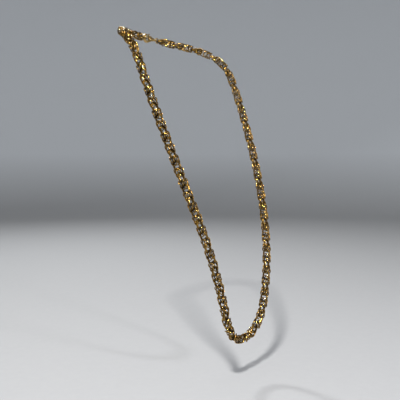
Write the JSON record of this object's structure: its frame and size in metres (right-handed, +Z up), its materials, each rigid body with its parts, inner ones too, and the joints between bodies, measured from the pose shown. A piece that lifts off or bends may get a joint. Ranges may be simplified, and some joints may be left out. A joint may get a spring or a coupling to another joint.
{
  "type": "chain necklace",
  "caption": "Long gold-tone necklace of paired round-wire links in a Byzantine weave, hanging in a narrow U, with a sprung claw clasp behind the neck.",
  "frame": {"origin": "centre of the neck opening, level with the clasp behind the neck", "axes": "+Z up, the necklace's front faces -Y, +X to the right when seen from the front"},
  "size_m": [0.1444, 0.1182, 0.2834],
  "materials": {
    "gold_links": "antique gold-tone plate on brass wire, polished on the high spots and dark in the recesses",
    "clasp_gold": "polished gold-tone plate",
    "spring_steel": "drawn spring wire"
  },
  "bodies": {
    "neck_loop": {"right_links_shoulder": "gold_links", "left_links_shoulder": "gold_links", "right_links_neck": "gold_links", "left_links_neck": "gold_links", "clasp_jump_ring": "clasp_gold", "swivel_eye": "clasp_gold", "end_ring": "clasp_gold"},
    "loop_23": {"right_links_level_23": "gold_links", "left_links_level_23": "gold_links"},
    "loop_22": {"right_links_level_22": "gold_links", "left_links_level_22": "gold_links"},
    "loop_21": {"right_links_level_21": "gold_links", "left_links_level_21": "gold_links"},
    "loop_20": {"right_links_level_20": "gold_links", "left_links_level_20": "gold_links"},
    "loop_19": {"right_links_level_19": "gold_links", "left_links_level_19": "gold_links"},
    "loop_18": {"right_links_level_18": "gold_links", "left_links_level_18": "gold_links"},
    "loop_17": {"right_links_level_17": "gold_links", "left_links_level_17": "gold_links"},
    "loop_16": {"right_links_level_16": "gold_links", "left_links_level_16": "gold_links"},
    "loop_15": {"right_links_level_15": "gold_links", "left_links_level_15": "gold_links"},
    "loop_14": {"right_links_level_14": "gold_links", "left_links_level_14": "gold_links"},
    "loop_13": {"right_links_level_13": "gold_links", "left_links_level_13": "gold_links"},
    "loop_12": {"right_links_level_12": "gold_links", "left_links_level_12": "gold_links"},
    "loop_11": {"right_links_level_11": "gold_links", "left_links_level_11": "gold_links"},
    "loop_10": {"right_links_level_10": "gold_links", "left_links_level_10": "gold_links"},
    "loop_09": {"right_links_level_09": "gold_links", "left_links_level_09": "gold_links"},
    "loop_08": {"right_links_level_08": "gold_links", "left_links_level_08": "gold_links"},
    "loop_07": {"right_links_level_07": "gold_links", "left_links_level_07": "gold_links"},
    "loop_06": {"right_links_level_06": "gold_links", "left_links_level_06": "gold_links"},
    "loop_05": {"right_links_level_05": "gold_links", "left_links_level_05": "gold_links"},
    "loop_04": {"right_links_level_04": "gold_links", "left_links_level_04": "gold_links"},
    "loop_03": {"right_links_level_03": "gold_links", "left_links_level_03": "gold_links"},
    "loop_bottom": {"right_links_bottom": "gold_links", "left_links_bottom": "gold_links"},
    "claw": {"claw_body": "clasp_gold", "claw_rivet": "clasp_gold", "claw_spring": "spring_steel"},
    "trigger": {"claw_trigger": "clasp_gold"}
  },
  "joints": [
    {"name": "link_hinge_24", "type": "hinge", "parent": "neck_loop", "child": "loop_23", "pos_m": [0, -0.009, -0.05946], "axis": [1, 0, 0], "range_deg": [-18, 18]},
    {"name": "link_hinge_23", "type": "hinge", "parent": "loop_23", "child": "loop_22", "pos_m": [0, -0.01272, -0.06894], "axis": [1, 0, 0], "range_deg": [-18, 18]},
    {"name": "link_hinge_22", "type": "hinge", "parent": "loop_22", "child": "loop_21", "pos_m": [0, -0.0164, -0.07842], "axis": [1, 0, 0], "range_deg": [-18, 18]},
    {"name": "link_hinge_21", "type": "hinge", "parent": "loop_21", "child": "loop_20", "pos_m": [0, -0.02002, -0.08791], "axis": [1, 0, 0], "range_deg": [-18, 18]},
    {"name": "link_hinge_20", "type": "hinge", "parent": "loop_20", "child": "loop_19", "pos_m": [0, -0.02359, -0.0974], "axis": [1, 0, 0], "range_deg": [-18, 18]},
    {"name": "link_hinge_19", "type": "hinge", "parent": "loop_19", "child": "loop_18", "pos_m": [0, -0.0271, -0.1069], "axis": [1, 0, 0], "range_deg": [-18, 18]},
    {"name": "link_hinge_18", "type": "hinge", "parent": "loop_18", "child": "loop_17", "pos_m": [0, -0.03055, -0.11639], "axis": [1, 0, 0], "range_deg": [-18, 18]},
    {"name": "link_hinge_17", "type": "hinge", "parent": "loop_17", "child": "loop_16", "pos_m": [0, -0.03392, -0.12589], "axis": [1, 0, 0], "range_deg": [-18, 18]},
    {"name": "link_hinge_16", "type": "hinge", "parent": "loop_16", "child": "loop_15", "pos_m": [0, -0.03721, -0.1354], "axis": [1, 0, 0], "range_deg": [-18, 18]},
    {"name": "link_hinge_15", "type": "hinge", "parent": "loop_15", "child": "loop_14", "pos_m": [0, -0.04038, -0.14491], "axis": [1, 0, 0], "range_deg": [-18, 18]},
    {"name": "link_hinge_14", "type": "hinge", "parent": "loop_14", "child": "loop_13", "pos_m": [0, -0.04344, -0.15443], "axis": [1, 0, 0], "range_deg": [-18, 18]},
    {"name": "link_hinge_13", "type": "hinge", "parent": "loop_13", "child": "loop_12", "pos_m": [0, -0.04637, -0.16396], "axis": [1, 0, 0], "range_deg": [-18, 18]},
    {"name": "link_hinge_12", "type": "hinge", "parent": "loop_12", "child": "loop_11", "pos_m": [0, -0.04909, -0.17352], "axis": [1, 0, 0], "range_deg": [-18, 18]},
    {"name": "link_hinge_11", "type": "hinge", "parent": "loop_11", "child": "loop_10", "pos_m": [0, -0.05157, -0.18315], "axis": [1, 0, 0], "range_deg": [-18, 18]},
    {"name": "link_hinge_10", "type": "hinge", "parent": "loop_10", "child": "loop_09", "pos_m": [0, -0.05377, -0.19283], "axis": [1, 0, 0], "range_deg": [-18, 18]},
    {"name": "link_hinge_09", "type": "hinge", "parent": "loop_09", "child": "loop_08", "pos_m": [0, -0.05566, -0.20256], "axis": [1, 0, 0], "range_deg": [-18, 18]},
    {"name": "link_hinge_08", "type": "hinge", "parent": "loop_08", "child": "loop_07", "pos_m": [0, -0.05722, -0.21234], "axis": [1, 0, 0], "range_deg": [-18, 18]},
    {"name": "link_hinge_07", "type": "hinge", "parent": "loop_07", "child": "loop_06", "pos_m": [0, -0.05841, -0.22214], "axis": [1, 0, 0], "range_deg": [-18, 18]},
    {"name": "link_hinge_06", "type": "hinge", "parent": "loop_06", "child": "loop_05", "pos_m": [0, -0.05926, -0.23194], "axis": [1, 0, 0], "range_deg": [-18, 18]},
    {"name": "link_hinge_05", "type": "hinge", "parent": "loop_05", "child": "loop_04", "pos_m": [0, -0.05976, -0.24173], "axis": [1, 0, 0], "range_deg": [-18, 18]},
    {"name": "link_hinge_04", "type": "hinge", "parent": "loop_04", "child": "loop_03", "pos_m": [0, -0.05982, -0.25148], "axis": [1, 0, 0], "range_deg": [-14, 14]},
    {"name": "link_hinge_03", "type": "hinge", "parent": "loop_03", "child": "loop_bottom", "pos_m": [0, -0.05952, -0.2607], "axis": [1, 0, 0], "range_deg": [-10, 10]},
    {"name": "clasp_swivel", "type": "hinge", "parent": "neck_loop", "child": "claw", "pos_m": [-0.0042, 0.05, 0], "axis": [1, 0, 0], "range_deg": [-25, 25]},
    {"name": "claw_trigger_pivot", "type": "hinge", "parent": "claw", "child": "trigger", "pos_m": [0.0001, 0.05, 0.00155], "axis": [0, -1, 0], "range_deg": [0, 14], "stiffness_Nm_per_rad": 0.002, "springref_deg": -11.46}
  ]
}
